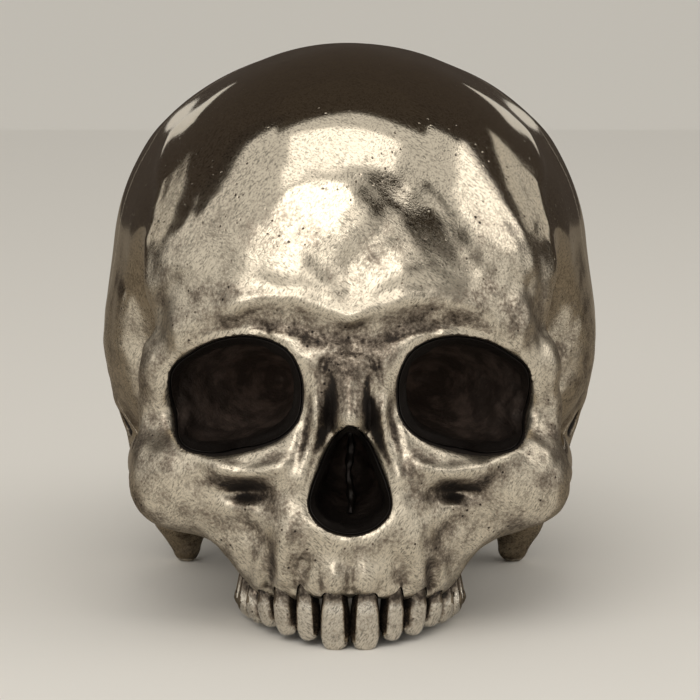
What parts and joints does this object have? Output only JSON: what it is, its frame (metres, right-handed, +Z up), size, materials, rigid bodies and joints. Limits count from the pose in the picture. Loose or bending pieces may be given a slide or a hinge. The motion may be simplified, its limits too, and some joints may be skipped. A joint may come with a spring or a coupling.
{
  "type": "skull decoration",
  "caption": "Life-size cast-metal human skull without its lower jaw: hollow braincase, deep dark eye sockets, open nose with a septum, free-standing upper teeth.",
  "frame": {"origin": "bottom centre of the bounding box, on the surface that the skull stands on", "axes": "+Z up, the face looks towards -Y, and the skull's left side is at +X; the longest extent is along Y"},
  "size_m": [0.1448, 0.1942, 0.154],
  "materials": {
    "cast_metal": "antique nickel plate on cast aluminium, polished on the dome, satin on the forehead, dark in the hollows",
    "tooth_metal": "antique nickel plate, polished on the crowns, dark between them",
    "dark_metal": "blackened, satin",
    "screw_steel": "plain steel"
  },
  "bodies": {
    "root": {"face_shell": "cast_metal", "rear_shell": "cast_metal", "skull_base": "cast_metal", "left_cheek_arch": "cast_metal", "right_cheek_arch": "cast_metal", "left_orbit_cup": "dark_metal", "right_orbit_cup": "dark_metal", "nasal_cup": "dark_metal", "nasal_septum": "dark_metal", "left_central_incisor": "tooth_metal", "right_central_incisor": "tooth_metal", "left_lateral_incisor": "tooth_metal", "right_lateral_incisor": "tooth_metal", "left_canine": "tooth_metal", "right_canine": "tooth_metal", "left_first_premolar": "tooth_metal", "right_first_premolar": "tooth_metal", "left_second_premolar": "tooth_metal", "right_second_premolar": "tooth_metal", "left_first_molar": "tooth_metal", "right_first_molar": "tooth_metal", "left_second_molar": "tooth_metal", "right_second_molar": "tooth_metal", "base_screw_1": "screw_steel", "base_screw_2": "screw_steel", "base_screw_3": "screw_steel", "base_screw_4": "screw_steel", "seam_dowel_1": "screw_steel", "seam_dowel_2": "screw_steel", "seam_dowel_3": "screw_steel"}
  },
  "joints": []
}
